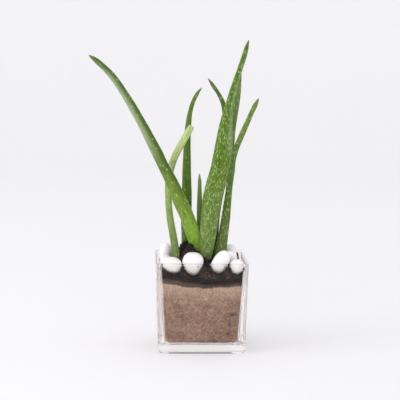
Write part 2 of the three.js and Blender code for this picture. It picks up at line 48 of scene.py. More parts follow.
LEAVES = [

  { "name": 'leaf_main', "back": [0.1, -0.99, -0.05], "cut": False,
    "stations": [
      [4.0, -10.3, 95.0, 11.8], [4.7, -12.1, 101.4, 13.4], [6.0, -12.5, 118.0, 17.3], [7.7, -13.1, 134.5, 18.9],
      [9.3, -13.6, 150.8, 19.7], [11.1, -14.1, 166.8, 20.9], [14.2, -14.6, 182.4, 20.5], [18.2, -15.1, 197.5, 20.0],
      [21.1, -15.6, 212.6, 20.0], [23.2, -15.7, 227.5, 18.9], [24.4, -15.4, 242.2, 15.7], [26.2, -14.9, 256.4, 12.0],
      [28.6, -14.4, 270.3, 8.4], [32.0, -14.0, 283.6, 7.4], [35.9, -13.5, 296.4, 6.8], [39.8, -13.1, 308.6, 5.9],
      [43.5, -12.7, 320.2, 5.7], [46.5, -12.3, 331.0, 4.5], [48.8, -12.1, 339.6, 0.4]] },
  { "name": 'leaf_behind_main', "back": [0.42, 0.9, 0.05], "cut": False,
    "stations": [
      [11.8, 4.3, 95.0, 7.9], [13.9, 5.1, 106.4, 8.9], [15.1, 5.5, 124.2, 9.3], [16.1, 5.8, 141.7, 9.4],
      [18.3, 6.2, 158.8, 9.5], [21.5, 6.5, 175.6, 9.3], [25.4, 6.8, 191.8, 9.3], [28.8, 7.0, 207.7, 9.7],
      [31.2, 7.4, 223.5, 9.8], [32.5, 7.7, 238.9, 9.4], [34.4, 8.0, 253.9, 9.4], [36.8, 8.3, 268.1, 8.7],
      [39.3, 8.5, 281.5, 6.7], [41.2, 8.8, 294.0, 3.6], [42.7, 8.9, 304.1, 0.8]] },
  { "name": 'leaf_right', "back": [0.5, -0.87, 0], "cut": False,
    "stations": [
      [17.5, -2.4, 95.0, 13.2], [20.6, -2.8, 103.9, 15.0], [23.2, -2.2, 117.3, 12.9], [25.0, -1.5, 130.7, 11.9],
      [26.8, -0.7, 144.0, 11.1], [28.2, 0.0, 157.1, 9.8], [29.7, 0.7, 170.0, 8.4], [31.0, 1.4, 182.6, 8.2],
      [33.1, 2.1, 195.0, 7.6], [34.3, 2.7, 207.2, 7.3], [37.3, 3.2, 218.9, 7.2], [41.7, 3.8, 230.1, 7.1],
      [46.2, 4.3, 240.6, 6.8], [50.5, 4.8, 250.7, 6.2], [54.7, 5.2, 260.2, 5.8], [58.8, 5.6, 269.0, 5.3],
      [62.3, 5.9, 275.5, 0.6]] },
  { "name": 'leaf_long_left', "back": [-0.62, -0.7, -0.36], "cut": False,
    "stations": [
      [-5.0, -4.8, 95.0, 13.1], [-4.6, -4.9, 104.1, 14.0], [-5.8, -5.6, 113.2, 14.9], [-9.6, -7.5, 129.7, 18.7],
      [-14.9, -9.9, 145.8, 19.2], [-21.7, -12.3, 160.9, 19.5], [-28.4, -14.7, 175.8, 18.2], [-35.2, -16.9, 190.3, 16.2],
      [-42.6, -18.9, 204.1, 14.8], [-49.2, -20.9, 218.0, 14.8], [-56.2, -22.9, 231.4, 13.7], [-63.1, -24.8, 244.6, 12.6],
      [-70.1, -26.5, 257.2, 11.7], [-77.1, -27.9, 269.4, 11.2], [-84.3, -29.1, 281.0, 10.0], [-91.5, -30.2, 292.0, 9.3],
      [-99.3, -31.2, 302.0, 8.8], [-107.8, -32.2, 310.5, 7.6], [-116.2, -33.2, 317.7, 6.2], [-123.5, -33.8, 322.5, 1.1]] },
  { "name": 'leaf_upright_left', "back": [-0.7, -0.7, 0], "cut": False,
    "stations": [
      [-13.2, 9.4, 95.0, 9.8], [-15.6, 11.1, 107.6, 11.2], [-15.5, 11.3, 122.6, 12.6], [-15.7, 11.6, 137.4, 13.7],
      [-15.4, 11.9, 152.1, 14.1], [-15.2, 12.3, 166.5, 13.6], [-15.4, 12.6, 180.6, 12.6], [-15.6, 12.9, 194.5, 11.7],
      [-15.5, 13.4, 208.1, 10.6], [-15.4, 14.0, 221.4, 9.5], [-15.0, 14.5, 234.3, 8.5], [-14.1, 15.1, 246.8, 7.5],
      [-12.6, 15.6, 258.7, 6.0], [-9.6, 16.1, 269.6, 5.3], [-5.0, 16.6, 279.1, 4.2], [-0.1, 16.9, 286.1, 0.6]] },
  { "name": 'leaf_cut_pale', "back": [-0.6, -0.8, 0], "cut": True,
    "stations": [
      [-22.9, -10.4, 95.0, 9.1], [-27.0, -12.3, 99.2, 10.4], [-28.8, -10.1, 112.3, 9.7], [-30.9, -7.2, 125.0, 9.1],
      [-33.3, -4.5, 137.6, 8.8], [-35.1, -2.2, 150.2, 8.5], [-36.1, -0.5, 162.6, 8.3], [-36.5, 0.9, 175.0, 8.4],
      [-35.8, 1.7, 187.1, 8.9], [-33.6, 1.7, 198.7, 8.9], [-29.9, 1.6, 209.6, 8.5], [-25.1, 1.4, 219.6, 8.3],
      [-20.1, 1.2, 228.8, 8.2], [-15.4, 1.1, 237.4, 8.0], [-11.5, 1.0, 244.2, 6.6]] },
  { "name": 'leaf_small_back', "back": [0.15, 0.98, 0], "cut": False,
    "stations": [
      [8.9, 10.3, 95.0, 5.7], [9.5, 11.6, 104.1, 6.1], [10.5, 12.1, 113.1, 6.5], [12.6, 12.3, 129.9, 7.0],
      [14.8, 12.7, 146.4, 7.4], [17.4, 13.0, 162.6, 7.5], [20.4, 13.4, 178.4, 7.5], [23.6, 13.7, 193.9, 7.7],
      [25.9, 14.1, 209.2, 7.6], [26.9, 14.7, 224.3, 8.1], [27.3, 15.3, 239.0, 8.0], [26.6, 15.9, 253.2, 7.2],
      [24.4, 16.5, 266.7, 5.5], [19.0, 17.1, 278.5, 4.2], [12.1, 17.6, 288.5, 3.9], [6.6, 17.9, 296.4, 0.6]] },
  { "name": 'leaf_small_centre', "back": [-0.2, 0.95, 0], "cut": False,
    "stations": [
      [-0.6, 3.0, 95.0, 5.9], [-0.5, 3.4, 104.7, 6.3], [-0.7, 3.5, 114.5, 6.7], [-0.9, 3.6, 125.6, 7.0],
      [-1.2, 3.6, 136.5, 7.2], [-1.4, 3.7, 147.1, 6.8], [-1.6, 3.8, 157.3, 6.3], [-1.8, 3.8, 167.2, 5.4],
      [-1.9, 3.9, 176.5, 4.5], [-2.0, 4.0, 185.2, 3.6], [-2.4, 4.0, 192.0, 0.4]] },
]
PEBBLES = [

  ['pebble_front_left', [-32.7, -36.2, 96.9], [10.9, 9.3, 8.7], 6, 11, 1, 0.04, [0, -1]],
  ['pebble_front_middle', [-10.6, -34.2, 97.9], [11.7, 11.3, 12.6], 0, 2, 2, 0.15, [0, -1]],
  ['pebble_front_right', [20.0, -36.2, 100.4], [13.7, 9.2, 8.7], 0, -60, 3, 0.05, [0, -1]],
  ['pebble_small_right', [37.4, -37.7, 95.3], [8.0, 7.4, 8.6], 0, 12, 4, 0.04, [0, -1]],
  ['pebble_back_left', [-38.6, 13.8, 102.4], [6.7, 9.0, 10.6], 4, 8, 5, 0, [-1, 0]],
  ['pebble_right_edge', [32.2, -16.5, 101.6], [7.4, 7.6, 8.2], 0, 0, 6, 0, [0, 0]],
  ['pebble_back_right', [33.6, 19.5, 103.2], [7.8, 8.6, 7.2], 20, -14, 7, 0, [0, 0]],
  ['pebble_left_side', [-39.4, -10.6, 97.0], [6.2, 9.0, 7.2], -4, 0, 8, 0, [-1, 0]],
  ['pebble_back_corner', [-32.4, 36.0, 97.6], [11.0, 8.8, 8.4], -8, 4, 9, 0, [0, 1]],
  ['pebble_back_middle', [-6.5, 35.2, 98.2], [11.4, 9.6, 8.8], 6, -5, 10, 0, [0, 1]],
  ['pebble_back_small', [16.0, 36.8, 97.0], [8.6, 8.0, 7.6], 0, 8, 11, 0, [0, 1]],
]


def bore_half(z):
    return BORE_TOP - BORE_TAPER * (VASE_H - z)


def layer_z(x, y):
    side = np.where(np.asarray(x) < 0, 6.2, 2.2) * (np.asarray(x) / 44) ** 2
    return LAYER_Z + side + 0.7 * np.sin(x / 9 + 1) * np.cos(y / 11) + 0.5 * np.sin(x / 3.7 + y / 5)


def heap(x, y, height, cx, cy, sx, sy):
    return height * np.exp(-((x - cx) ** 2) / (2 * sx**2) - ((y - cy) ** 2) / (2 * sy**2))


def mound_z(x, y):
    heaps = heap(x, y, 20, -3, 2, 17, 15) + heap(x, y, 8, -10, 4, 7, 7) + heap(x, y, 9, -22.5, 5, 4.5, 6) + heap(x, y, 6, 43, 44, 3, 8) + heap(x, y, 18, -13.5, -18.5, 6.5, 4.2)
    at_front_glass = 3.6 * np.exp(-((y + 47) ** 2) / (2 * 5**2))
    rough = 0.7 * np.sin(x / 3.1 + 0.4) * np.cos(y / 3.7 - 0.8) + 0.4 * np.sin(x / 1.9 - y / 2.3)
    return SOIL_RIM + heaps + at_front_glass + rough


# ---------------------------------------------------------------- noise
def lattice(ix, iy, iz, seed):
    h = (ix * 374761393 + iy * 668265263 + iz * 2147483647 + seed * 1274126177) & 0xFFFFFFFF
    h = ((h ^ (h >> 13)) * 1274126177) & 0xFFFFFFFF
    h = ((h ^ (h >> 16)) * 2246822519) & 0xFFFFFFFF
    return ((h ^ (h >> 15)) & 0xFFFFFF) / float(0xFFFFFF)


def noise(p, size, seed=0):
    """Smooth value noise from -1 to 1 at points p, with features about size across."""
    q = np.asarray(p, float) / size
    i = np.floor(q).astype(np.int64)
    f = q - i
    f = f * f * (3 - 2 * f)
    out = 0
    for dx in (0, 1):
        for dy in (0, 1):
            for dz in (0, 1):
                w = (f[..., 0] if dx else 1 - f[..., 0]) * (f[..., 1] if dy else 1 - f[..., 1]) * (f[..., 2] if dz else 1 - f[..., 2])
                out = out + w * lattice(i[..., 0] + dx, i[..., 1] + dy, i[..., 2] + dz, seed)
    return out * 2 - 1


def fractal(p, size, octaves=4, seed=0, gain=0.5):
    out, amp, total = 0, 1.0, 0.0
    for k in range(octaves):
        out = out + amp * noise(p, size / 2**k, seed + 17 * k)
        total += amp
        amp *= gain
    return out / total


# ---------------------------------------------------------------- mesh helpers
def add_mesh(name, verts_mm, faces, smooth=True):
    me = bpy.data.meshes.new(name)
    me.from_pydata((np.asarray(verts_mm) * MM).tolist(), [], faces)
    me.validate()
    me.update()
    ob = bpy.data.objects.new(name, me)
    bpy.context.scene.collection.objects.link(ob)
    if smooth:
        me.polygons.foreach_set("use_smooth", [True] * len(me.polygons))
    return ob


def add_attribute(ob, name, values, kind="FLOAT"):
    at = ob.data.attributes.new(name, kind, "POINT")
    at.data.foreach_set("value" if kind == "FLOAT" else "vector", np.asarray(values, np.float32).ravel())


def loops_to_mesh(loops, close_start=True, close_end=True):
    """Vertices and faces of a skin over loops of equal length; both ends close on the loops' middles."""
    n = len(loops[0])
    verts = np.concatenate(loops)
    faces = []
    for k in range(len(loops) - 1):
        a = k * n
        for j in range(n):
            j2 = (j + 1) % n
            faces.append((a + j, a + j2, a + n + j2, a + n + j))
    if close_start:
        verts = np.vstack([verts, loops[0].mean(0)])
        c = len(verts) - 1
        faces += [(c, (j + 1) % n, j) for j in range(n)]
    if close_end:
        verts = np.vstack([verts, loops[-1].mean(0)])
        c = len(verts) - 1
        a = (len(loops) - 1) * n
        faces += [(c, a + j, a + (j + 1) % n) for j in range(n)]
    return verts, faces


def outward(verts, faces):
    """Turns all faces round if the closed skin's volume is negative."""
    vol = 0.0
    v = np.asarray(verts)
    for f in faces:
        for k in range(1, len(f) - 1):
            vol += np.dot(v[f[0]], np.cross(v[f[k]], v[f[k + 1]]))
    return [tuple(reversed(f)) for f in faces] if vol < 0 else faces


def rounded_square(half, radius, arc, side):
    pts = []
    corners = [(1, 1, 0), (-1, 1, 90), (-1, -1, 180), (1, -1, 270)]
    for i, (sx, sy, start) in enumerate(corners):
        c = half - radius
        for k in range(arc + 1):
            a = math.radians(start + 90 * k / arc)
            pts.append((sx * c + radius * math.cos(a), sy * c + radius * math.sin(a)))
        nx, ny, _ = corners[(i + 1) % 4]
        a1 = math.radians(start + 90)
        p0 = (sx * c + radius * math.cos(a1), sy * c + radius * math.sin(a1))
        p1 = (nx * c + radius * math.cos(a1), ny * c + radius * math.sin(a1))
        for k in range(1, side + 1):
            t = k / (side + 1)
            pts.append((p0[0] + (p1[0] - p0[0]) * t, p0[1] + (p1[1] - p0[1]) * t))
    return np.array(pts)


def at_height(xy, z):
    xy = np.asarray(xy)
    zz = np.full(len(xy), z) if np.isscalar(z) else np.asarray(z)
    return np.column_stack([xy, zz])


ICO = {}


def icosphere(level):
    if level not in ICO:
        t = (1 + 5**0.5) / 2
        v = [(-1, t, 0), (1, t, 0), (-1, -t, 0), (1, -t, 0), (0, -1, t), (0, 1, t), (0, -1, -t), (0, 1, -t), (t, 0, -1), (t, 0, 1), (-t, 0, -1), (-t, 0, 1)]
        v = [tuple(np.array(p) / np.linalg.norm(p)) for p in v]
        f = [(0, 11, 5), (0, 5, 1), (0, 1, 7), (0, 7, 10), (0, 10, 11), (1, 5, 9), (5, 11, 4), (11, 10, 2), (10, 7, 6), (7, 1, 8),
             (3, 9, 4), (3, 4, 2), (3, 2, 6), (3, 6, 8), (3, 8, 9), (4, 9, 5), (2, 4, 11), (6, 2, 10), (8, 6, 7), (9, 8, 1)]
        for _ in range(level):
            cache, nf = {}, []

            def mid(a, b):
                key = (min(a, b), max(a, b))
                if key not in cache:
                    m = np.array(v[a]) + np.array(v[b])
                    v.append(tuple(m / np.linalg.norm(m)))
                    cache[key] = len(v) - 1
                return cache[key]

            for a, b, c in f:
                ab, bc, ca = mid(a, b), mid(b, c), mid(c, a)
                nf += [(a, ab, ca), (b, bc, ab), (c, ca, bc), (ab, bc, ca)]
            f = nf
        ICO[level] = (np.array(v), f)
    return ICO[level]


# ---------------------------------------------------------------- material helpers
class Nodes:
    """Short way to write a node material."""

    def __init__(self, name):
        self.mat = bpy.data.materials.new(name)
        self.mat.use_nodes = True
        self.nt = self.mat.node_tree
        self.nt.nodes.clear()
        self.out = self.nt.nodes.new("ShaderNodeOutputMaterial")

    def add(self, kind, inputs=None, **props):
        n = self.nt.nodes.new("ShaderNode" + kind)
        for k, v in props.items():
            setattr(n, k, v)
        for k, v in (inputs or {}).items():
            self.set(n.inputs[k], v)
        return n

    def set(self, socket, v):
        if isinstance(v, bpy.types.NodeSocket):
            self.nt.links.new(v, socket)
        else:
            socket.default_value = v

    def math(self, op, a, b=0.0, c=0.0, clamp=False):
        n = self.nt.nodes.new("ShaderNodeMath")
        n.operation, n.use_clamp = op, clamp
        for i, v in enumerate((a, b, c)):
            self.set(n.inputs[i], v)
        return n.outputs[0]

    def mix(self, fac, a, b, blend="MIX"):
        n = self.nt.nodes.new("ShaderNodeMix")
        n.data_type, n.blend_type = "RGBA", blend
        self.set(n.inputs[0], fac)
        self.set(n.inputs[6], a if isinstance(a, bpy.types.NodeSocket) else (*a, 1)[:4])
        self.set(n.inputs[7], b if isinstance(b, bpy.types.NodeSocket) else (*b, 1)[:4])
        return n.outputs[2]

    def ramp(self, fac, stops, interp="LINEAR"):
        n = self.nt.nodes.new("ShaderNodeValToRGB")
        cr = n.color_ramp
        cr.interpolation = interp
        while len(cr.elements) < len(stops):
            cr.elements.new(0.5)
        for e, (p, c) in zip(cr.elements, stops):
            e.position = p
            e.color = (c, c, c, 1) if np.isscalar(c) else (*c, 1)[:4]
        self.set(n.inputs[0], fac)
        return n.outputs[0]

    def smooth(self, v, lo, hi):
        n = self.nt.nodes.new("ShaderNodeMapRange")
        n.interpolation_type = "SMOOTHSTEP"
        self.set(n.inputs[0], v)
        n.inputs[1].default_value, n.inputs[2].default_value = lo, hi
        return n.outputs[0]

    def attr(self, name):
        return self.add("Attribute", attribute_name=name).outputs["Fac"]

    def noise(self, vec, scale, detail=3.0, rough=0.55, out="Fac"):
        return self.add("TexNoise", {"Vector": vec, "Scale": scale, "Detail": detail, "Roughness": rough}).outputs[out]

    def voronoi(self, vec, scale, feature="F1", out="Distance", rand=1.0):
        return self.add("TexVoronoi", {"Vector": vec, "Scale": scale, "Randomness": rand}, feature=feature).outputs[out]

    def bump(self, height, strength, distance, normal=None):
        n = self.add("Bump", {"Height": height, "Strength": strength, "Distance": distance})
        if normal is not None:
            self.set(n.inputs["Normal"], normal)
        return n.outputs[0]

    def finish(self, shader):
        self.nt.links.new(shader, self.out.inputs["Surface"])
        return self.mat


def srgb(r, g, b):
    return tuple((c / 255 / 12.92) if c <= 10 else ((c / 255 + 0.055) / 1.055) ** 2.4 for c in (r, g, b))


# ---------------------------------------------------------------- camera, light, stage
def camera():
    cam = bpy.data.cameras.new("camera")
    cam.lens, cam.sensor_width, cam.clip_start, cam.clip_end = 135.0, 36.0, 0.05, 20.0
    ob = bpy.data.objects.new("camera", cam)
    yaw, pitch, roll = math.radians(2.76), math.radians(7.42), math.radians(0.62)
    fwd = np.array([math.sin(yaw) * math.cos(pitch), math.cos(yaw) * math.cos(pitch), -math.sin(pitch)])
    right0 = np.array([math.cos(yaw), -math.sin(yaw), 0.0])
    up0 = np.cross(right0, fwd)
    c, s = math.cos(roll), math.sin(roll)
    right, up = right0 * c + up0 * s, -right0 * s + up0 * c
    m = Matrix.Identity(4)
    for i in range(3):
        m[i][0], m[i][1], m[i][2] = right[i], up[i], -fwd[i]
    m[0][3], m[1][3], m[2][3] = -0.0806, -1.6393, 0.3768
    ob.matrix_world = m
    bpy.context.scene.collection.objects.link(ob)
    bpy.context.scene.camera = ob


def area_light(name, at, aim, size, power, colour=(1, 1, 1)):
    li = bpy.data.lights.new(name, "AREA")
    li.shape, li.size, li.size_y, li.energy, li.color = "RECTANGLE", size[0], size[1], power, colour
    ob = bpy.data.objects.new(name, li)
    ob.location = at
    ob.rotation_euler = (Vector(aim) - Vector(at)).to_track_quat("-Z", "Y").to_euler()
    bpy.context.scene.collection.objects.link(ob)
    return ob


def studio():
    sc = bpy.context.scene
    sc.view_settings.view_transform = "Standard"
    sc.view_settings.look = "None"
    world = bpy.data.worlds.new("studio")
    sc.world = world
    world.use_nodes = True
    bg = world.node_tree.nodes["Background"]
    bg.inputs[0].default_value = (0.97, 0.965, 1.0, 1)
    bg.inputs[1].default_value = 0.54
    area_light("key_left", (-1.5, -0.5, 1.1), (0, 0, 0.15), (1.2, 1.2), 11.0, (1, 0.99, 0.97))
    area_light("front", (-0.5, -2.1, 1.2), (0, 0, 0.12), (1.6, 1.2), 11.0, (1, 0.995, 0.99))
    area_light("top", (0.0, 0.3, 1.9), (0, 0.1, 0.0), (1.6, 1.6), 6.0, (1.0, 0.995, 1.0))
    area_light("fill_right", (1.6, -0.4, 0.9), (0, 0, 0.15), (1.2, 1.2), 1.5, (0.97, 0.98, 1.0))

    # round paper stage: a flat floor that curves up into a low wall all round, wide enough to look in from any side
    prof = [(r, -0.0004) for r in (0.02, 0.3, 0.8, 1.5, 2.3)]
    for k in range(1, 19):
        a = math.radians(90 * k / 18)
        prof.append((2.3 + 0.9 * math.sin(a), -0.0004 + 0.9 * (1 - math.cos(a))))
    prof.append((3.2, 1.6))
    n = 96
    around = [(math.cos(2 * math.pi * j / n), math.sin(2 * math.pi * j / n)) for j in range(n)]
    verts = [(c * r / MM, d * r / MM, z / MM) for (r, z) in prof for (c, d) in around] + [(0, 0, -0.0004 / MM)]
    faces = [(k * n + j, k * n + (j + 1) % n, (k + 1) * n + (j + 1) % n, (k + 1) * n + j) for k in range(len(prof) - 1) for j in range(n)]
    faces = [tuple(reversed(f)) for f in faces] + [(len(verts) - 1, j, (j + 1) % n) for j in range(n)]
    ob = add_mesh("paper_stage", verts, faces)
    m = Nodes("paper")
    pos = m.add("TexCoord").outputs["Object"]
    tint = m.mix(m.noise(pos, 3.0, 2.0), (0.56, 0.555, 0.575), (0.58, 0.575, 0.595))
    bsdf = m.add("BsdfPrincipled", {"Base Color": tint, "Roughness": 0.85})
    # the paper is lit from behind a little, as on a light table, so shadows stay faint
    far = m.math("DIVIDE", m.add("VectorMath", {0: pos}, operation="LENGTH").outputs["Value"], 3.4)
    m.set(bsdf.inputs["Emission Color"], m.ramp(far, [(0.0, (0.385, 0.383, 0.39)), (0.1, (0.385, 0.383, 0.39)), (0.35, (0.42, 0.418, 0.425)), (0.7, (0.445, 0.442, 0.44)), (1.0, (0.445, 0.442, 0.44))]))
    bsdf.inputs["Emission Strength"].default_value = 1.0
    bsdf.inputs["Specular IOR Level"].default_value = 0.15
    ob.data.materials.append(m.finish(bsdf.outputs[0]))


# ---------------------------------------------------------------- glass vase
def glass_material():
    m = Nodes("clear_glass")
    pos = m.add("TexCoord").outputs["Object"]
    wave = m.noise(pos, 38.0, 2.0, 0.4)
    normal = m.bump(wave, 0.08, 0.0006)
    bsdf = m.add("BsdfPrincipled", {"Base Color": (0.965, 0.942, 0.912, 1), "Roughness": 0.0, "IOR": 1.48, "Transmission Weight": 1.0, "Normal": normal})
    bsdf.inputs["Specular Tint"].default_value = (0.25, 0.25, 0.25, 1)
    clear = m.add("BsdfTransparent", {"Color": (0.978, 0.964, 0.952, 1)})
    path = m.add("LightPath")
    # light that has bounced about inside the walls leaves them again
    height = m.add("SeparateXYZ", {0: pos}).outputs[2]
    thin = m.math("MULTIPLY_ADD", m.smooth(height, 0.007, 0.02), 0.36, 0.05)
    escaped = m.math("MAXIMUM", m.math("GREATER_THAN", path.outputs["Glossy Depth"], 2.5), thin)
    through = m.math("MAXIMUM", m.math("MAXIMUM", path.outputs["Is Shadow Ray"], path.outputs["Is Diffuse Ray"]), escaped)
    mixer = m.add("MixShader", {0: through, 1: bsdf.outputs[0], 2: clear.outputs[0]})
    return m.finish(mixer.outputs[0])


def build_vase():
    arc, side = 10, 12
    c, b = VASE_CORNER, BORE_CORNER
    loops = []
    # underside, rounded foot, wall, polished rim
    for t in (0.35, 0.7):
        loops.append(at_height(rounded_square((VASE_BASE - FOOT) * t, (c - 3.4) * t, arc, side), 0.0))
    loops.append(at_height(rounded_square(VASE_BASE - FOOT, c - 3.4, arc, side), 0.0))
    for k in range(1, 13):
        a = math.radians(90 * k / 12)
        loops.append(at_height(rounded_square(VASE_BASE - FOOT + FOOT * math.sin(a), c - 3.4 + 3.4 * math.sin(a), arc, side), FOOT * (1 - math.cos(a))))
    for k in range(1, 13):
        t = k / 12
        loops.append(at_height(rounded_square(VASE_BASE + (VASE_TOP - 0.02 - VASE_BASE) * t, c, arc, side), FOOT + (VASE_H - 1.3 - FOOT) * t))
    for k in range(1, 7):
        a = math.radians(90 * k / 6)
        loops.append(at_height(rounded_square(VASE_TOP - 0.02 - 1.25 * (1 - math.cos(a)), c - 0.8 * (1 - math.cos(a)), arc, side), VASE_H - 1.3 * (1 - math.sin(a))))
    top = bore_half(VASE_H - 1.1)
    for k in range(0, 7):
        a = math.radians(90 * k / 6)
        loops.append(at_height(rounded_square(top + 1.1 * (1 - math.sin(a)), b + 0.7 * (1 - math.sin(a)), arc, side), VASE_H - 1.1 * (1 - math.cos(a))))
    z1 = FLOOR_Z + 4.6
    for k in range(1, 13):
        z = VASE_H - 1.1 + (z1 - (VASE_H - 1.1)) * k / 12
        loops.append(at_height(rounded_square(bore_half(z), b, arc, side), z))
    for k in range(1, 9):
        a = math.radians(90 * k / 8)
        loops.append(at_height(rounded_square(bore_half(z1) - 4.6 * (1 - math.cos(a)), b - 2.4 * (1 - math.cos(a)), arc, side), z1 - 4.6 * math.sin(a)))
    for t in (0.7, 0.35):
        loops.append(at_height(rounded_square((bore_half(z1) - 4.6) * t, (b - 2.4) * t, arc, side), FLOOR_Z))
    verts, faces = loops_to_mesh(loops)
    faces = outward(verts, faces)
    ob = add_mesh("vase_glass", verts, faces)
    ob.data.materials.append(glass_material())
    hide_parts("glass_vase")
    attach(ob, "root")


# ---------------------------------------------------------------- soil
def soil_material(name, dark):
    m = Nodes(name)
    pos = m.add("TexCoord").outputs["Object"]
    warp = m.add("VectorMath", {0: pos, 1: m.add("VectorMath", {0: m.noise(pos, 260.0, 2.0, out="Color"), 1: (0.0016, 0.0016, 0.0016)}, operation="MULTIPLY").outputs[0]}, operation="ADD").outputs[0]
    grain = m.voronoi(warp, 620.0, out="Color")
    gv = m.add("SeparateColor", {0: grain}).outputs
    edge = m.voronoi(warp, 620.0, feature="DISTANCE_TO_EDGE")
    fine = m.voronoi(warp, 1500.0, out="Color")
    fv = m.add("SeparateColor", {0: fine}).outputs
    patch = m.noise(pos, 55.0, 4.0, 0.6)
    broad = m.noise(pos, 22.0, 2.0, 0.5)
    if dark:
        col = m.ramp(gv[0], [(0.0, srgb(40, 28, 28)), (0.45, srgb(70, 54, 51)), (0.8, srgb(104, 83, 75)), (1.0, srgb(158, 132, 116))])
        layers = m.noise(m.add("Mapping", {"Vector": pos, "Scale": (1.0, 1.0, 2.6)}).outputs[0], 62.0, 4.0, 0.62)
        col = m.mix(m.math("MULTIPLY", m.smooth(layers, 0.47, 0.36), 0.7), col, srgb(20, 13, 14))
        col = m.mix(m.math("MULTIPLY", m.smooth(layers, 0.53, 0.68), 0.7), col, srgb(112, 92, 84))
        col = m.mix(m.math("MULTIPLY", fv[1], 0.35), col, srgb(48, 36, 34))
        col = m.mix(m.math("MULTIPLY", m.smooth(patch, 0.45, 0.72), 0.8), col, srgb(40, 30, 29))
        level = m.math("ADD", m.attr("low"), m.math("MULTIPLY_ADD", m.noise(pos, 150.0, 3.0, 0.6), 0.16, -0.08))
        # painted shade: the dark soil is multiplied by bands by height above the tan layer, dark a little above it,
        # lighter in a band just under the rim, and dark again over the heap's top and on the loose crumbs, standing in
        # for the shade that falls on the soil
        shade = m.ramp(level, [(0.0, (1.0, 0.99, 0.99)), (0.14, (0.9, 0.89, 0.89)), (0.25, (0.22, 0.21, 0.22)), (0.45, (0.28, 0.26, 0.27)), (0.56, (0.74, 0.69, 0.69)), (0.78, (0.72, 0.67, 0.67)), (0.9, (0.3, 0.27, 0.27)), (1.0, (0.28, 0.25, 0.25))])
        col = m.mix(m.math("MULTIPLY", m.smooth(level, 0.2, 0.08), 0.6), col, srgb(122, 104, 94))
        col = m.mix(1.0, col, shade, "MULTIPLY")
    else:
        col = m.ramp(gv[0], [(0.0, srgb(156, 124, 106)), (0.35, srgb(174, 142, 123)), (0.7, srgb(188, 156, 136)), (0.93, srgb(200, 169, 148)), (1.0, srgb(214, 186, 166))])
        col = m.mix(m.math("MULTIPLY", fv[1], 0.3), col, srgb(150, 120, 104))
        mid = m.noise(pos, 130.0, 3.0, 0.6)
        col = m.mix(m.math("MULTIPLY", m.smooth(mid, 0.5, 0.7), 0.5), col, srgb(132, 104, 90))
        col = m.mix(m.math("MULTIPLY", m.smooth(mid, 0.5, 0.3), 0.35), col, srgb(206, 172, 148))
        col = m.mix(m.math("MULTIPLY", m.smooth(patch, 0.5, 0.7), 0.4), col, srgb(126, 100, 86))
        col = m.mix(m.math("MULTIPLY", m.smooth(broad, 0.5, 0.72), 0.45), col, srgb(136, 112, 98))
        up = m.attr("high")
        col = m.mix(m.math("MULTIPLY", up, 0.75), col, srgb(230, 204, 178))
        # darker in blots and towards the bottom of the soil
        darker_blots_and_bottom = m.attr("darker_blots_and_bottom")
        col = m.mix(m.math("MULTIPLY", darker_blots_and_bottom, 0.8), col, srgb(78, 62, 56))
        # dark crumbs that have sunk in along the boundary
        sunk = m.smooth(m.math("ADD", m.attr("top"), m.math("MULTIPLY_ADD", m.noise(pos, 330.0, 3.0, 0.6), 1.3, -0.65)), 0.55, 0.8)
        col = m.mix(m.math("MULTIPLY", sunk, 0.8), col, srgb(92, 76, 70))
    # painted shade: the cracks between grains are darkened; the same cracks also shape the bump
    cracks = m.smooth(edge, 0.0, 0.16)
    col = m.mix(m.math("SUBTRACT", 1.0, cracks), col, m.mix(0.5, col, (0.012, 0.009, 0.008)))
    height = m.math("ADD", m.math("MULTIPLY", cracks, 0.7), m.math("MULTIPLY", fv[0], 0.3))
    normal = m.bump(height, 0.75, 0.0007)
    bsdf = m.add("BsdfPrincipled", {"Base Color": col, "Normal": normal})
    m.set(bsdf.inputs["Roughness"], m.math("MULTIPLY_ADD", gv[1], 0.25, 0.62 if dark else 0.72))
    bsdf.inputs["Specular IOR Level"].default_value = 0.35 if dark else 0.2
    return m.finish(bsdf.outputs[0])


def off_walls(points, front, side):
    """Moves wall points off the front glass by front and off the other walls by side, in mm; below 0 is into the glass."""
    p = points.copy()
    r = np.maximum(np.abs(p[:, 0]), np.abs(p[:, 1]))
    wx, wy = (np.clip((np.abs(p[:, k]) / r - 0.9) / 0.1, 0, 1) for k in (0, 1))
    low = np.clip((p[:, 2] - 15) / 60, 0, 1)
    loose = np.where(p[:, 0] < 0, 0.1 + 0.8 * low, 1.5 - 0.4 * low)
    loose = loose + 4.0 * np.clip((17.5 - p[:, 2]) / 6, 0, 1) ** 2
    p[:, 0] -= np.sign(p[:, 0]) * wx * (side + loose)
    p[:, 1] -= np.sign(p[:, 1]) * wy * np.where(p[:, 1] < 0, front, side)
    return p


def grain_noise(p, seed):
    """0 to 1: rounded grains about 1.5 mm across with pits between them."""
    return 0.5 + 0.5 * (0.6 * noise(p, 1.6, seed) + 0.4 * noise(p, 0.8, seed + 5))


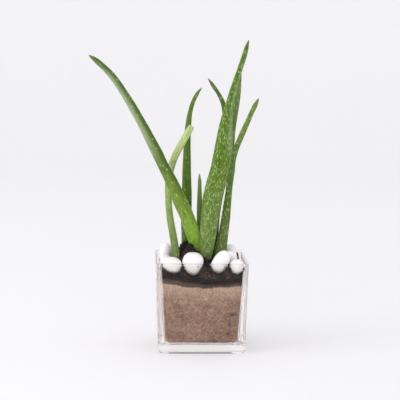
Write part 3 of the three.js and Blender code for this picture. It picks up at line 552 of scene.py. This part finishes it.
def build_soil_lower():
    outline = rounded_square(1.0, BORE_CORNER / 46, 8, 66)
    wall = outline * 45.0
    top = layer_z(wall[:, 0], wall[:, 1]) - 0.2
    loops, levels = [], 56

    def floor_loop(f, z):
        p = at_height(outline * (bore_half(z) - GAP) * f, z)
        p[:, 2] += -0.46 + 0.25 * grain_noise(p, 31) ** 2
        return p

    for f in np.linspace(0.04, 0.86, 26):
        loops.append(floor_loop(f, SOIL_BOTTOM))
    for k in range(0, 7):
        a = math.radians(90 * k / 6)
        z = SOIL_BOTTOM + 4.6 * (1 - math.cos(a))
        p = at_height(outline * (bore_half(z) - GAP - 4.6 * (1 - math.sin(a))), z)
        g = 0.5 * grain_noise(p, 3) ** 2
        p = off_walls(p, 0.6 * g - 0.42, g)
        p[:, 2] -= (0.46 - 0.5 * g) * math.cos(a)
        loops.append(p)
    z0 = SOIL_BOTTOM + 4.6
    for k in range(1, levels + 1):
        t = k / levels
        z = z0 + (top - z0) * t
        half = (BORE_TOP - BORE_TAPER * (VASE_H - z)) - GAP
        p = np.column_stack([outline * half[:, None], z])
        g = 0.6 * np.clip(grain_noise(p, 3), 0, 1) ** 3 + 0.3 * np.clip(noise(p, 9, 8) - 0.2, 0, 1)
        loops.append(off_walls(p, g - 0.42, g))
    for f in (0.96, 0.8, 0.6, 0.4, 0.2, 0.05):
        xy = outline * 44.6 * f
        loops.append(at_height(xy, layer_z(xy[:, 0], xy[:, 1]) - 0.3))
    verts, faces = loops_to_mesh(loops)
    faces = outward(verts, faces)
    ob = add_mesh("soil_lower_grains", verts, faces)
    z = verts[:, 2]
    lz = layer_z(verts[:, 0], verts[:, 1])
    up = np.clip(1 - (lz - z) / 21, 0, 1) * np.clip(0.4 + (lz - z) / 3, 0, 1)
    blot = 0
    for bx, bz, sx, sz, amp in ((34.5, 43.5, 3.6, 2.0, 1.3), (29.5, 33, 1.6, 6.5, 0.75), (28, 22, 3.2, 3.0, 0.8), (-40.6, 45.6, 1.6, 3.2, 0.9), (-34, 19, 6, 2.6, 0.5), (10, 13.5, 26, 1.8, 0.45), (38, 24, 1.5, 9, 0.3)):
        blot = blot + amp * np.exp(-(((verts[:, 0] - bx) / sx) ** 2) - ((z - bz) / sz) ** 2)
    blot = blot * (0.75 + 0.9 * fractal(verts, 3.5, 3, 78))
    blot += 0.55 * np.clip(1 - (z - SOIL_BOTTOM) / 3, 0, 1) + 0.6 * (z < SOIL_BOTTOM + 0.2) + 0.4 * np.clip(fractal(verts, 14, 3, 77) * 2.2 - 0.55, 0, 1)
    add_attribute(ob, "high", up)
    add_attribute(ob, "top", np.clip(1 - (lz - z) / 4.5, 0, 1))
    add_attribute(ob, "darker_blots_and_bottom", np.clip(blot, 0, 1))
    ob.data.materials.append(soil_material("tan_soil", False))
    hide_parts("soil_lower")
    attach(ob, "root")


def top_soil_height(x, y):
    p = np.column_stack([x, y, np.zeros_like(x)])
    h = mound_z(x, y)
    near = np.exp(-((x + 3) ** 2) / (2 * 22**2) - ((y - 2) ** 2) / (2 * 20**2))
    return h + (1.2 + 1.2 * near) * fractal(p, 6.0, 4, 41, 0.6) + 0.5 * near * np.abs(noise(p, 3.0, 49))


def clear_of_pebbles(p):
    """Pushes soil points out of the narrow spaces between the pebbles and the glass."""
    p = p.copy()
    for pebble in PEBBLES:
        wx, wy = pebble[7]
        if not (wx or wy):
            continue
        hull = pebble_points(icosphere(3)[0], pebble, 0.0, 0.45)
        ax, sign = (0, wx) if wx else (1, wy)
        other = 1 - ax
        c = hull.mean(0)
        # outline of the pebble seen along the way to the glass, by direction
        rel = hull[:, [other, 2]] - c[[other, 2]]
        ang = np.arctan2(rel[:, 1], rel[:, 0])
        rad = np.hypot(rel[:, 0], rel[:, 1])
        bins = ((ang + math.pi) / (2 * math.pi) * 48).astype(int) % 48
        outline = np.array([rad[bins == k].max() if (bins == k).any() else 0 for k in range(48)])
        q = p[:, [other, 2]] - c[[other, 2]]
        qa = ((np.arctan2(q[:, 1], q[:, 0]) + math.pi) / (2 * math.pi) * 48) - 0.5
        k0 = np.floor(qa).astype(int) % 48
        f = qa - np.floor(qa)
        lim = outline[k0] * (1 - f) + outline[(k0 + 1) % 48] * f
        r = np.hypot(q[:, 0], q[:, 1])
        inside = (r < lim) & ((p[:, ax] - c[ax]) * sign > -1.0)
        p[inside, ax] = c[ax] - sign * 1.0
    return p


def build_soil_top():
    outline = rounded_square(1.0, BORE_CORNER / 46, 8, 66)
    wall = outline * 45.6
    low = layer_z(wall[:, 0], wall[:, 1]) + 0.1
    rim = mound_z(wall[:, 0], wall[:, 1]) - 0.5 + 0.9 * noise(at_height(wall, 0.0), 5, 12)
    loops = []
    for f in (0.05, 0.3, 0.55, 0.8, 0.95):
        xy = outline * 44.6 * f
        loops.append(at_height(xy, layer_z(xy[:, 0], xy[:, 1]) + 0.15))
    for k in range(0, 27):
        t = k / 26
        z = low + (rim - low) * t
        half = (BORE_TOP - BORE_TAPER * (VASE_H - z)) - GAP
        p = np.column_stack([outline * half[:, None], z])
        g = 0.8 * np.clip(grain_noise(p, 61), 0, 1) ** 2.6 + 0.6 * np.clip(noise(p, 7, 68) - 0.15, 0, 1) + (1.2 * max(0, t - 0.85) / 0.15)
        loops.append(clear_of_pebbles(off_walls(p, g - 0.42, g)))
    for f in np.concatenate([np.linspace(0.975, 0.1, 50), [0.05]]):
        xy = outline * (bore_half(SOIL_RIM) - GAP) * f
        z = top_soil_height(xy[:, 0], xy[:, 1])
        loops.append(clear_of_pebbles(at_height(xy, z)))
    verts, faces = loops_to_mesh(loops)
    faces = outward(verts, faces)
    ob = add_mesh("soil_top_crumb", verts, faces)
    z = verts[:, 2]
    low_at = layer_z(verts[:, 0], verts[:, 1])
    add_attribute(ob, "low", np.clip((z - low_at) / 20 + 0.09 / (1 + np.exp(-(verts[:, 0] - 4) / 3)) + 0.05 * fractal(verts, 9, 3, 83), 0, 1))
    ob.data.materials.append(soil_material("dark_soil", True))
    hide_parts("soil_top")
    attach(ob, "root")

    # loose crumbs lying on the heap and between the pebbles
    unit, tri = icosphere(1)
    allv, allf = [], []
    made = 0
    while made < 1500:
        x, y = rng.uniform(-45, 45, 2)
        near = math.exp(-((x + 3) ** 2 + (y - 2) ** 2) / (2 * 20**2))
        if rng.random() > 0.25 + 0.75 * near:
            continue
        s = rng.gamma(2.2, 0.28) * (0.8 + 0.5 * near)
        s = min(s, 2.4)
        if max(abs(x), abs(y)) > 45.6 - s:
            continue
        z = float(top_soil_height(np.array([x]), np.array([y]))[0]) + s * rng.uniform(-0.3, 0.45)
        spot = np.array([[x, y, z]])
        if abs(clear_of_pebbles(spot) - spot).max() > 0.01:
            continue
        scale = s * np.array([rng.uniform(0.7, 1.3), rng.uniform(0.7, 1.3), rng.uniform(0.55, 1.0)])
        v = unit * scale * (1 + 0.28 * noise(unit * 1.0 + made * 3.1, 0.8, 91))[:, None]
        a = rng.uniform(0, 2 * math.pi)
        rot = np.array([[math.cos(a), -math.sin(a), 0], [math.sin(a), math.cos(a), 0], [0, 0, 1]])
        allf += [tuple(i + 42 * made for i in t) for t in tri]
        allv.append(v @ rot.T + (x, y, z))
        made += 1
    for pebble in PEBBLES:
        if pebble[7] != [0, -1]:
            continue
        hull = pebble_points(icosphere(3)[0], pebble)
        c = hull.mean(0)
        for _ in range(22):
            a = rng.uniform(math.pi * 1.02, math.pi * 1.98)
            way = np.array([math.cos(a), math.sin(a)])
            reach = ((hull[:, [0, 2]] - c[[0, 2]]) @ way).max() * rng.uniform(0.86, 1.0)
            x, z = c[0] + way[0] * reach, c[2] + way[1] * reach
            s = rng.uniform(0.3, 0.95)
            y = -(bore_half(z) - 0.1 - 0.8 * s)
            v = unit * s * (1 + 0.3 * noise(unit + made * 3.1, 0.8, 91))[:, None] * np.array([rng.uniform(0.8, 1.5), 0.8, rng.uniform(0.7, 1.2)])
            allf += [tuple(i + 42 * made for i in t) for t in tri]
            allv.append(v + (x, y, z))
            made += 1
    crumbs = add_mesh("soil_top_loose_crumbs", np.concatenate(allv), allf)
    add_attribute(crumbs, "low", np.ones(len(crumbs.data.vertices)))
    crumbs.data.materials.append(ob.data.materials[0])
    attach(crumbs, "root")


# ---------------------------------------------------------------- pebbles
def pebble_material():
    m = Nodes("white_pebble")
    pos = m.add("TexCoord").outputs["Object"]
    cloud = m.noise(pos, 90.0, 4.0, 0.6)
    vein = m.noise(pos, 240.0, 3.0, 0.6)
    col = m.ramp(cloud, [(0.3, srgb(240, 238, 234)), (0.55, srgb(250, 249, 247)), (0.75, srgb(253, 253, 252))])
    col = m.mix(m.math("MULTIPLY", m.smooth(vein, 0.62, 0.75), 0.3), col, srgb(214, 211, 210))
    pits = m.voronoi(pos, 420.0)
    speck = m.math("MULTIPLY", m.math("SUBTRACT", 1.0, m.smooth(pits, 0.05, 0.16)), m.smooth(m.noise(pos, 130.0, 2.0), 0.55, 0.65))
    dirt = m.attr("dirt")
    col = m.mix(m.math("MULTIPLY", speck, 0.75), col, srgb(120, 108, 100))
    grime = m.math("MULTIPLY", dirt, m.smooth(m.noise(pos, 420.0, 4.0, 0.65), 0.44, 0.62))
    col = m.mix(grime, col, srgb(88, 72, 64))
    col = m.mix(m.math("MULTIPLY", m.attr("pit"), 0.9), col, srgb(60, 54, 52))
    height = m.math("ADD", m.math("MULTIPLY", m.noise(pos, 700.0, 4.0, 0.6), 0.5), m.math("MULTIPLY", m.smooth(pits, 0.04, 0.2), 0.5))
    bsdf = m.add("BsdfPrincipled", {"Base Color": col, "Normal": m.bump(height, 0.25, 0.0003)})
    m.set(bsdf.inputs["Roughness"], m.math("MULTIPLY_ADD", vein, 0.25, 0.32))
    bsdf.inputs["Subsurface Weight"].default_value = 0.9
    bsdf.inputs["Subsurface Radius"].default_value = (1.0, 0.97, 0.93)
    bsdf.inputs["Subsurface Scale"].default_value = 0.006
    return m.finish(bsdf.outputs[0])


def pebble_points(unit, pebble, fine=0.0, grow=0.0):
    _, centre, half, turn, tilt, seed, widen, way = pebble
    x, y, z = unit.T
    square = np.sign(unit) * np.abs(unit) ** 0.92
    if pebble[0] in ("pebble_front_left", "pebble_front_right"):
        # these two lie on a flat side
        down = (unit[:, 2] < 0) if pebble[0] == "pebble_front_left" else (unit[:, 0] < 0)
        axis = 2 if pebble[0] == "pebble_front_left" else 0
        square[:, axis] = np.where(down, -np.abs(unit[:, axis]) ** 0.66, square[:, axis])
    for k in (0, 1):
        if way[k]:
            square[:, k] = np.where(unit[:, k] * way[k] > 0, np.sign(unit[:, k]) * np.abs(unit[:, k]) ** 0.62, square[:, k])
    lump = 1 - 0.035 + 0.035 * np.sin(2.1 * x + 1.7 * seed) * np.cos(1.9 * y - seed) + 0.025 * np.sin(3.3 * z + 2.2 * x + seed * 2.3)
    wide = np.column_stack([1 + widen * z, 1 + widen * z, np.ones_like(z)])
    v = square * wide * (np.array(half) + grow) * (lump + fine)[:, None]
    a, b = math.radians(turn), math.radians(tilt)
    rz = np.array([[math.cos(a), -math.sin(a), 0], [math.sin(a), math.cos(a), 0], [0, 0, 1]])
    ry = np.array([[math.cos(b), 0, math.sin(b)], [0, 1, 0], [-math.sin(b), 0, math.cos(b)]])
    return v @ (rz @ ry).T + np.array(centre)


def build_pebbles():
    mat = pebble_material()
    unit, tri = icosphere(5)
    for pebble in PEBBLES:
        name, seed = pebble[0], pebble[5]
        fine = 0.05 * fractal(unit + seed * 7.7, 0.9, 3, 200 + seed, 0.45)
        fine = fine - 0.02 * np.clip(noise(unit + seed * 3.3, 0.35, 300 + seed) - 0.45, 0, 1)
        if name == "pebble_front_middle":
            # a pit low on the right of its face
            pit = np.array([0.52, -0.83, -0.12])
            pit /= np.linalg.norm(pit)
            fine = fine - 0.09 * np.exp(-((np.linalg.norm(unit - pit, axis=1) / 0.085) ** 2))
        v = pebble_points(unit, pebble, fine)
        ob = add_mesh(name + "_stone", v, tri)
        soil = mound_z(v[:, 0], v[:, 1])
        low = np.clip((pebble[1][2] - v[:, 2]) / pebble[2][2], 0, 1) ** 3
        add_attribute(ob, "dirt", np.clip(np.clip(1 - (v[:, 2] - soil) / 3.0, 0, 1) * 0.1 + low * 0.12, 0, 1))
        add_attribute(ob, "pit", np.exp(-((np.linalg.norm(unit - np.array([0.52, -0.83, -0.12]) / 0.988, axis=1) / 0.075) ** 2)) if name == "pebble_front_middle" else np.zeros(len(v)))
        ob.data.materials.append(mat)
        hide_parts(name)
        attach(ob, "root")


# ---------------------------------------------------------------- leaves
def spline(points, t):
    """Natural-looking curve through rows of numbers: centripetal-free Catmull-Rom over the rows' index."""
    p = np.asarray(points, float)
    p = np.vstack([2 * p[0] - p[1], p, 2 * p[-1] - p[-2]])
    n = len(p) - 3
    u = np.clip(t * n, 0, n - 1e-9)
    i = u.astype(int)
    f = (u - i)[:, None]
    a, b, c, d = p[i], p[i + 1], p[i + 2], p[i + 3]
    return 0.5 * (2 * b + (c - a) * f + (2 * a - 5 * b + 4 * c - d) * f**2 + (3 * b - 3 * c + d - a) * f**3)


LOOKS = {
    # colour low, middle and high on the leaf; flecks 0 to 1; painted_sheen = painted sheen, a waxy grey-green side that
    # stands in for the skin's reflection of the bright surroundings (-1 left, 1 right, 0 none); -1 also paints shade on
    # the other side
    "leaf_main": dict(low=(109, 134, 59), mid=(100, 131, 32), high=(89, 121, 23), fleck=1.0, painted_sheen=1, seed=1, band=(-0.4, -0.08)),
    "leaf_behind_main": dict(low=(70, 95, 36), mid=(89, 117, 50), high=(108, 133, 69), fleck=0.35, painted_sheen=0, seed=2),
    "leaf_right": dict(low=(93, 117, 34), mid=(86, 116, 33), high=(118, 147, 60), fleck=0.8, painted_sheen=0, seed=3),
    "leaf_long_left": dict(low=(142, 182, 48), mid=(99, 125, 41), high=(101, 123, 61), fleck=0.45, painted_sheen=-1, seed=4),
    "leaf_upright_left": dict(low=(86, 120, 21), mid=(85, 121, 22), high=(94, 123, 39), fleck=0.35, painted_sheen=0, seed=5),
    "leaf_cut_pale": dict(low=(103, 126, 56), mid=(141, 165, 87), high=(196, 212, 142), fleck=0.4, painted_sheen=0, seed=6, cut=True),
    "leaf_small_back": dict(low=(84, 113, 43), mid=(93, 120, 49), high=(89, 111, 47), fleck=0.3, painted_sheen=0, seed=7),
    "leaf_small_centre": dict(low=(111, 148, 69), mid=(111, 148, 71), high=(133, 164, 86), fleck=0.15, painted_sheen=0, seed=8),
}


def leaf_material(name, look):
    m = Nodes(name + "_skin")
    uv = m.add("UVMap", uv_map="leaf").outputs[0]
    along, edge, across = m.attr("along"), m.attr("edge"), m.attr("across")
    pos = m.add("TexCoord").outputs["Object"]
    # long soft streaks and darker mottling
    streak = m.noise(m.add("Mapping", {"Vector": uv, "Scale": (900.0, 26.0, 1.0)}).outputs[0], 1.0, 3.0, 0.6)
    mottle = m.noise(m.add("Mapping", {"Vector": uv, "Location": (look["seed"], 0, 0), "Scale": (330.0, 110.0, 1.0)}).outputs[0], 1.0, 3.0, 0.6)
    cloud = m.noise(pos, 60.0, 3.0, 0.55)
    col = m.ramp(m.math("ADD", along, m.math("MULTIPLY_ADD", cloud, 0.16, -0.08)), [(0.05, srgb(*look["low"])), (0.42, srgb(*look["mid"])), (0.9, srgb(*look["high"]))])
    dark = m.mix(0.75, col, srgb(42, 66, 8))
    col = m.mix(m.math("MULTIPLY", m.smooth(streak, 0.4, 0.7), 0.4), col, dark)
    col = m.mix(m.math("MULTIPLY", m.smooth(mottle, 0.5, 0.66), 0.35 + 0.3 * look["fleck"]), col, dark)
    if look.get("band"):
        lo, hi = look["band"]
        mid = m.math("MULTIPLY", m.smooth(across, lo - 0.25, lo + 0.1), m.smooth(across, hi + 0.2, hi - 0.1))
        mid = m.math("MULTIPLY", mid, m.math("MULTIPLY", m.smooth(along, 0.3, 0.45), m.math("SUBTRACT", 1.0, m.smooth(along, 0.88, 0.97))))
        col = m.mix(m.math("MULTIPLY", mid, 0.42), col, srgb(60, 96, 8))
    # painted sheen: a waxy grey-green side that stands in for the skin's reflection of the bright surroundings
    if look["painted_sheen"]:
        side = m.smooth(m.math("MULTIPLY", across, float(look["painted_sheen"])), -0.95 if look["painted_sheen"] < 0 else 0.0, 0.15 if look["painted_sheen"] < 0 else 0.7)
        span = m.math("MULTIPLY", m.smooth(along, 0.42, 0.62), m.math("SUBTRACT", 1.0, m.smooth(along, 0.86, 0.97)))
        painted_sheen = m.math("MULTIPLY", m.math("MULTIPLY", side, span), m.math("MULTIPLY_ADD", cloud, 0.8, 0.25), clamp=True)
        col = m.mix(m.math("MULTIPLY", painted_sheen, 0.9 if look["painted_sheen"] < 0 else 0.5), col, srgb(168, 184, 150))
        if look["painted_sheen"] < 0:
            # painted shade: on the long left leaf the far side, turned away from the light, is painted darker
            far = m.math("MULTIPLY", m.smooth(across, 0.55, 0.98), m.smooth(along, 0.12, 0.4))
            col = m.mix(m.math("MULTIPLY", far, 0.65), col, srgb(58, 84, 28))
    # flecks: long pale spots, crowded in loose cross bands
    warp = m.add("VectorMath", {0: uv, 1: m.add("VectorMath", {0: m.noise(pos, 160.0, 1.0, out="Color"), 1: (0.0014, 0.0026, 0)}, operation="MULTIPLY").outputs[0]}, operation="ADD").outputs[0]
    fv = m.add("Mapping", {"Vector": warp, "Location": (look["seed"] * 0.37, look["seed"] * 0.73, 0), "Scale": (640.0, 190.0, 1.0)}).outputs[0]
    cell = m.add("TexVoronoi", {"Vector": fv, "Scale": 1.0, "Randomness": 0.95}, voronoi_dimensions="2D")
    pick = m.add("SeparateColor", {0: cell.outputs["Color"]}).outputs
    bands = m.noise(m.add("Mapping", {"Vector": uv, "Scale": (40.0, 95.0, 1.0)}).outputs[0], 1.0, 1.0)
    size = m.math("MULTIPLY_ADD", pick[1], 0.22, 0.14)
    spot = m.math("SUBTRACT", 1.0, m.smooth(m.math("DIVIDE", cell.outputs["Distance"], size), 0.6, 1.3), clamp=True)
    keep = m.smooth(m.math("ADD", pick[0], m.math("MULTIPLY_ADD", bands, 0.8, -0.4)), 1.0 - 0.72 * look["fleck"], 1.12 - 0.72 * look["fleck"])
    fleck = m.math("MULTIPLY", m.math("MULTIPLY", spot, keep), m.math("SUBTRACT", 1.0, m.smooth(along, 0.94, 0.99)))
    col = m.mix(m.math("MULTIPLY", fleck, m.math("MULTIPLY_ADD", pick[2], 0.45, 0.42)), col, srgb(184, 206, 138))
    # paler scratches and streaks near the foot of the leaf
    foot = m.math("SUBTRACT", 1.0, m.smooth(along, 0.12, 0.4))
    lines = m.noise(m.add("Mapping", {"Vector": uv, "Location": (0.0, look["seed"] * 0.9, 0), "Scale": (1500.0, 230.0, 1.0)}).outputs[0], 1.0, 2.0, 0.6)
    col = m.mix(m.math("MULTIPLY", m.math("MULTIPLY", foot, m.smooth(lines, 0.52, 0.66)), 0.55 * look["fleck"]), col, srgb(168, 188, 136))
    # thin paler margin, dry brown tip, darker olive-brown foot near the soil
    col = m.mix(m.math("MULTIPLY", m.smooth(edge, 0.97, 1.0), 0.3), col, srgb(160, 176, 112))
    if not look.get("cut"):
        col = m.mix(m.smooth(m.math("ADD", along, m.math("MULTIPLY", streak, 0.02)), 0.98, 1.0), col, srgb(116, 108, 70))
    col = m.mix(m.math("MULTIPLY", m.math("SUBTRACT", 1.0, m.smooth(m.attr("above"), 0.5, 8.0)), 0.5), col, srgb(74, 72, 34))
    height = m.math("ADD", m.math("MULTIPLY", streak, 0.5), m.math("MULTIPLY", fleck, 0.35))
    height = m.math("ADD", height, m.math("MULTIPLY", m.noise(pos, 1500.0, 2.0), 0.15))
    bsdf = m.add("BsdfPrincipled", {"Base Color": col, "Normal": m.bump(height, 0.35, 0.00025)})
    m.set(bsdf.inputs["Roughness"], m.math("MULTIPLY_ADD", cloud, 0.2, 0.33))
    bsdf.inputs["Subsurface Weight"].default_value = 0.08
    bsdf.inputs["Subsurface Radius"].default_value = (0.5, 1.0, 0.2)
    bsdf.inputs["Subsurface Scale"].default_value = 0.002
    bsdf.inputs["Specular IOR Level"].default_value = 0.24
    return m.finish(bsdf.outputs[0])


def tooth_material():
    m = Nodes("leaf_teeth")
    pos = m.add("TexCoord").outputs["Object"]
    col = m.mix(m.noise(pos, 900.0, 2.0), srgb(196, 204, 152), srgb(170, 182, 112))
    bsdf = m.add("BsdfPrincipled", {"Base Color": col, "Roughness": 0.4})
    bsdf.inputs["Subsurface Weight"].default_value = 0.2
    bsdf.inputs["Subsurface Scale"].default_value = 0.001
    return m.finish(bsdf.outputs[0])


def callus_material():
    m = Nodes("cut_end")
    pos = m.add("TexCoord").outputs["Object"]
    col = m.mix(m.noise(pos, 800.0, 4.0, 0.65), srgb(172, 176, 118), srgb(196, 200, 146))
    bsdf = m.add("BsdfPrincipled", {"Base Color": col, "Roughness": 0.75, "Normal": m.bump(m.noise(pos, 1200.0, 3.0), 0.5, 0.0003)})
    return m.finish(bsdf.outputs[0])


def build_leaf(leaf, tooth_mat, callus_mat):
    st = np.array(leaf["stations"], float)
    n = 150 if len(st) > 12 else 90
    t = np.linspace(0, 1, n)
    if not leaf["cut"]:
        t = 1 - (1 - t) ** 1.12
    fine = spline(st, t)
    centre, width = fine[:, :3], np.maximum(fine[:, 3], 0.25)
    # keep the last stretch a clean taper
    d = np.r_[0, np.cumsum(np.linalg.norm(np.diff(centre, axis=0), axis=1))]
    total = d[-1]
    if not leaf["cut"]:
        left = total - d
        k = left < 9
        w9 = np.interp(total - 9, d, width)
        width[k] = np.minimum(width[k] * 1.2 + 0.1, w9 * (left[k] / 9) ** 0.75 + 0.28)
    back = np.array(leaf["back"], float)
    tang = np.gradient(centre, axis=0)
    tang /= np.linalg.norm(tang, axis=1)[:, None]
    seed = LOOKS[leaf["name"]]["seed"]
    around = 52
    ang = np.concatenate([np.linspace(0, math.pi, around // 2 + 1)[:-1], np.linspace(math.pi, 2 * math.pi, around // 2 + 1)[:-1]])
    loops, uvs, along, edge, across = [], [], [], [], []
    for i in range(n):
        tip = 1 - d[i] / total
        bulge = 0.36 + 0.06 * (2 * tip - 1) ** 2
        chan = np.interp(tip, [0, 0.25, 0.7, 1], [-0.14, -0.03, 0.05, 0.10])
        nrm = back - np.dot(back, tang[i]) * tang[i]
        nrm /= np.linalg.norm(nrm)
        lat = np.cross(tang[i], nrm)
        w = width[i]
        s, c = np.sin(ang), np.cos(ang)
        u = 0.5 * w * np.sign(c) * np.abs(c) ** 0.97
        outer = bulge * w * np.abs(s) ** 0.86
        inner = chan * w * np.abs(s)
        v = np.where(s >= 0, outer, inner)
        # a rounded margin instead of a knife edge
        v = v + np.where(s < 0, -0.022 * w * np.abs(s) ** 0.4, 0.0)
        ridge = 0.10 * np.sin(u * 2.6 + seed) * min(1.0, w / 10) + 0.16 * noise(np.column_stack([u * 0.9, v * 0 + d[i] * 0.10, v * 0 + seed * 5.0]), 1.6, 400 + seed)
        v = v + np.where(s >= 0, 1, -1) * ridge * np.abs(s)
        loops.append(centre[i] + lat * u[:, None] + nrm * v[:, None])
        arc = np.r_[0, np.cumsum(np.hypot(np.diff(u), np.diff(v)))]
        uvs.append(np.column_stack([arc, np.full(around, d[i])]) * MM)
        along.append(np.full(around, d[i] / total))
        edge.append(np.abs(c) ** 2)
        across.append(c)
    if leaf["cut"]:
        # the cut end has shrunk a little and turned in
        last = loops[-1]
        mid = last.mean(0)
        for f, out in ((0.93, 0.35), (0.75, 0.5), (0.45, 0.25), (0.15, 0.05)):
            ring = mid + (last - mid) * f + tang[-1] * out
            loops.append(ring)
            uvs.append(uvs[-1])
            along.append(along[-1])
            edge.append(edge[-1])
            across.append(across[-1])
    verts, faces = loops_to_mesh(loops)
    faces = outward(verts, faces)
    uv = np.concatenate(uvs + [uvs[0].mean(0)[None], uvs[-1].mean(0)[None]])
    al = np.concatenate(along + [[0.0], [1.0]])
    ed = np.concatenate(edge + [[0.0], [0.0]])
    nv = len(verts)
    # teeth along both margins
    tv, tf = [], []
    step = 0.0
    pos = 14.0
    side_rng = np.random.default_rng(900 + seed)
    while pos < total - 12 - (20 if leaf["cut"] else 0):
        tip = 1 - pos / total
        for side in (1, -1):
            at = pos + side_rng.uniform(-1.0, 1.0)
            i = int(np.clip(np.searchsorted(d, at), 1, n - 2))
            ring = loops[i]
            m = ring[0] if side == 1 else ring[around // 2]
            outdir = m - ring.mean(0)
            outdir /= np.linalg.norm(outdir)
            h = (0.55 + 0.55 * tip) * min(1.0, width[i] / 9) * side_rng.uniform(0.75, 1.2)
            lean = outdir * 0.85 + tang[i] * 0.55
            lean /= np.linalg.norm(lean)
            acr = np.cross(lean, tang[i])
            acr /= np.linalg.norm(acr)
            base = m - outdir * 0.35
            start = len(tv)
            for lv, rr in ((0.0, 1.0), (0.45, 0.55), (0.8, 0.25)):
                for q in range(6):
                    a = 2 * math.pi * q / 6
                    tv.append(base + lean * (h + 0.35) * lv + (tang[i] * 0.62 * math.cos(a) + acr * 0.34 * math.sin(a)) * rr * (0.6 + 0.4 * h))
            tv.append(base + lean * (h + 0.35))
            tv.append(base - outdir * 0.05)
            for r in range(2):
                for q in range(6):
                    a, b = start + r * 6 + q, start + r * 6 + (q + 1) % 6
                    tf.append((a, b, b + 6, a + 6))
            for q in range(6):
                tf.append((start + 12 + q, start + 12 + (q + 1) % 6, start + 18))
                tf.append((start + 19, start + (q + 1) % 6, start + q))
        pos += 4.2 + 2.2 * tip
    allv = np.vstack([verts, np.array(tv)]) if tv else verts
    allf = list(faces) + [tuple(i + nv for i in f) for f in tf]
    ob = add_mesh(leaf["name"] + "_skin", allv, allf)
    me = ob.data
    layer = me.uv_layers.new(name="leaf")
    full_uv = np.vstack([uv, np.zeros((len(allv) - nv, 2))])
    idx = np.zeros(len(me.loops), np.int32)
    me.loops.foreach_get("vertex_index", idx)
    luv = full_uv[idx]
    # close the seam where the section starts again
    first = {}
    starts = np.zeros(len(me.polygons), np.int32)
    totals = np.zeros(len(me.polygons), np.int32)
    me.polygons.foreach_get("loop_start", starts)
    me.polygons.foreach_get("loop_total", totals)
    ring_i = idx % around
    for s0, tt in zip(starts, totals):
        sl = slice(s0, s0 + tt)
        if idx[sl].max() < nv - 2 and ring_i[sl].max() == around - 1 and ring_i[sl].min() == 0:
            for q in range(s0, s0 + tt):
                if ring_i[q] == 0:
                    k = idx[q] // around
                    luv[q, 0] = uvs[min(k, len(uvs) - 1)][-1, 0] + 0.0004
    layer.uv.foreach_set("vector", luv.astype(np.float32).ravel())
    extra = len(allv) - nv
    add_attribute(ob, "along", np.r_[al, np.full(extra, 0.5)])
    add_attribute(ob, "edge", np.r_[ed, np.ones(extra)])
    add_attribute(ob, "across", np.r_[np.concatenate(across), 0.0, 0.0, np.zeros(extra)])
    soil = mound_z(allv[:, 0], allv[:, 1])
    add_attribute(ob, "above", np.clip(allv[:, 2] - soil, -20, 60))
    me.materials.append(leaf_material(leaf["name"], LOOKS[leaf["name"]]))
    me.materials.append(tooth_mat)
    mi = np.zeros(len(me.polygons), np.int32)
    mi[len(faces):] = 1
    if leaf["cut"]:
        me.materials.append(callus_mat)
        quads = (len(loops) - 1) * around
        mi[quads - 4 * around + around: quads] = 2
        mi[quads + around: quads + 2 * around] = 2
    me.polygons.foreach_set("material_index", mi)
    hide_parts(leaf["name"])
    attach(ob, "root")


def finish_stem():
    m = Nodes("root_bark")
    pos = m.add("TexCoord").outputs["Object"]
    grain = m.noise(m.add("Mapping", {"Vector": pos, "Scale": (1.0, 1.0, 3.0)}).outputs[0], 320.0, 4.0, 0.6)
    col = m.ramp(grain, [(0.3, srgb(112, 92, 62)), (0.6, srgb(164, 146, 106)), (0.8, srgb(190, 176, 138))])
    bsdf = m.add("BsdfPrincipled", {"Base Color": col, "Roughness": 0.8, "Normal": m.bump(grain, 0.5, 0.0006)})
    mat = m.finish(bsdf.outputs[0])
    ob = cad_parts["stem_with_roots"]
    for s in ob.material_slots:
        s.material = mat


camera()
studio()
build_vase()
build_soil_lower()
build_soil_top()
build_pebbles()
teeth, callus = tooth_material(), callus_material()
for one in LEAVES:
    build_leaf(one, teeth, callus)
finish_stem()
